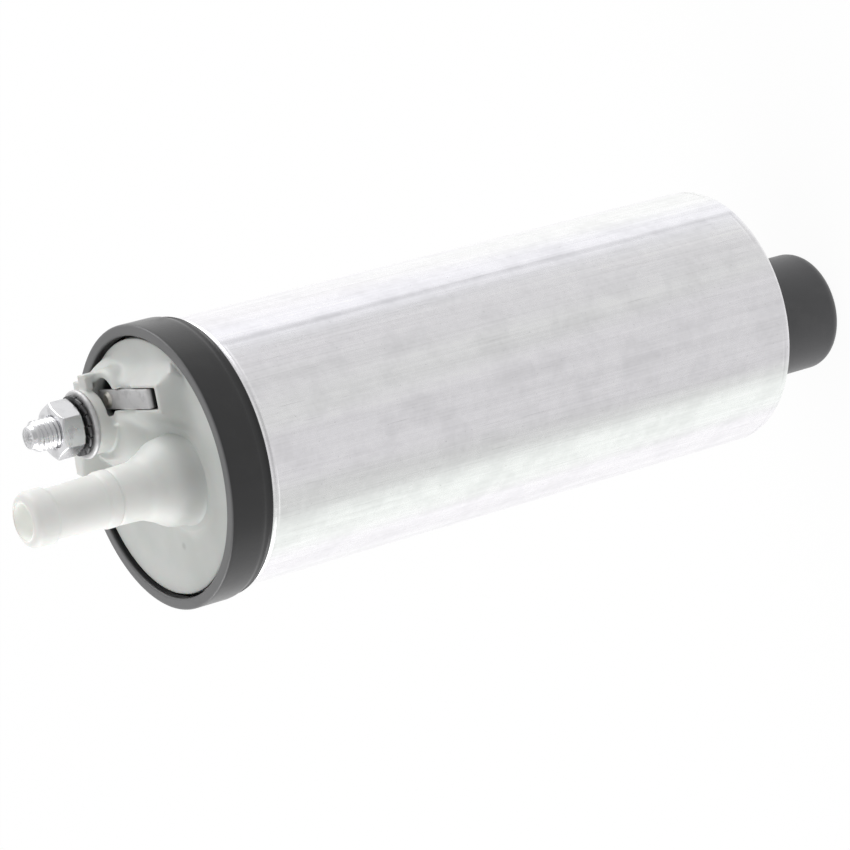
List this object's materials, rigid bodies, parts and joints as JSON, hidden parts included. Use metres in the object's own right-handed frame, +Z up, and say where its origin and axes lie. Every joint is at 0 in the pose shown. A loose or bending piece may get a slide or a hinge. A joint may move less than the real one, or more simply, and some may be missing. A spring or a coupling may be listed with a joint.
{
  "type": "fuel pump",
  "caption": "Electric in-tank fuel pump: aluminium tube with a rubber ring, a white end cap with hose barb and terminal stud, and an offset inlet.",
  "frame": {"origin": "on the tube's axis, at the height of the inlet's end face on which the pump stands", "axes": "+Z up the tube's axis towards the hose outlet, +X towards the side of the outlet barb, +Y towards the side of the terminal stud"},
  "size_m": [0.0452, 0.0452, 0.1584],
  "materials": {
    "tube_aluminium": "drawn, faint lengthwise streaks",
    "ring_rubber": "satin",
    "cap_plastic": "moulded, satin",
    "seal_rubber": "satin",
    "zinc_steel": "bright zinc",
    "contact_metal": "tinned",
    "washer_steel": "dark",
    "brass": "turned",
    "valve_plastic": "moulded",
    "spring_steel": "bright",
    "holder_plastic": "moulded",
    "brush_carbon": "pressed copper carbon",
    "bush_bronze": "sintered",
    "yoke_steel": "rolled",
    "magnet_ferrite": "ground ferrite",
    "copper_wire": "enamelled copper",
    "hub_resin": "moulded",
    "cast_aluminium": "die cast",
    "impeller_plastic": "moulded",
    "cover_plastic": "moulded",
    "sleeve_rubber": "matte"
  },
  "bodies": {
    "pump_body": {"housing_tube": "tube_aluminium", "isolator_ring": "ring_rubber", "end_cap": "cap_plastic", "cap_seal": "seal_rubber", "terminal_stud": "zinc_steel", "contact_plate": "contact_metal", "lock_washer": "washer_steel", "terminal_nut": "zinc_steel", "contact_strap": "contact_metal", "contact_rivet": "brass", "check_spring": "spring_steel", "check_seat": "brass", "relief_spring": "spring_steel", "relief_plug": "brass", "brush_holder": "holder_plastic", "brush_spring_left": "spring_steel", "brush_spring_right": "spring_steel", "upper_bush": "bush_bronze", "flux_ring": "yoke_steel", "magnet_left": "magnet_ferrite", "magnet_right": "magnet_ferrite", "magnet_clips": "spring_steel", "pump_casing": "cast_aluminium", "lower_bush": "bush_bronze", "inlet_cover": "cover_plastic", "inlet_pipe": "cover_plastic", "inlet_seal": "seal_rubber", "thrust_button": "valve_plastic", "inlet_sleeve": "sleeve_rubber"},
    "rotor": {"rotor_shaft": "spring_steel", "rotor_core": "yoke_steel", "windings": "copper_wire", "commutator": "copper_wire", "commutator_hub": "hub_resin", "impeller": "impeller_plastic"},
    "check_valve": {"check_valve": "valve_plastic"},
    "relief_valve": {"relief_ball": "spring_steel"},
    "left_brush": {"brush_left": "brush_carbon"},
    "right_brush": {"brush_right": "brush_carbon"}
  },
  "joints": [
    {"name": "rotor_spin", "type": "hinge", "parent": "pump_body", "child": "rotor", "pos_m": [0, 0, 0.075], "axis": [0, 0, 1], "continuous": true},
    {"name": "check_valve_lift", "type": "slide", "parent": "pump_body", "child": "check_valve", "axis": [0, 0, 1], "range_m": [0, 0.0025], "stiffness_N_per_m": 120, "springref_m": -0.004, "deforming": ["check_spring"]},
    {"name": "relief_ball_lift", "type": "slide", "parent": "pump_body", "child": "relief_valve", "axis": [0, 0, 1], "range_m": [0, 0.001], "stiffness_N_per_m": 400, "springref_m": -0.001, "deforming": ["relief_spring"]},
    {"name": "left_brush_slide", "type": "slide", "parent": "pump_body", "child": "left_brush", "axis": [-1, 0, 0], "range_m": [0, 0.0015], "stiffness_N_per_m": 200, "springref_m": -0.002, "deforming": ["brush_spring_left"]},
    {"name": "right_brush_slide", "type": "slide", "parent": "pump_body", "child": "right_brush", "axis": [1, 0, 0], "range_m": [0, 0.0015], "stiffness_N_per_m": 200, "springref_m": -0.002, "deforming": ["brush_spring_right"]}
  ]
}
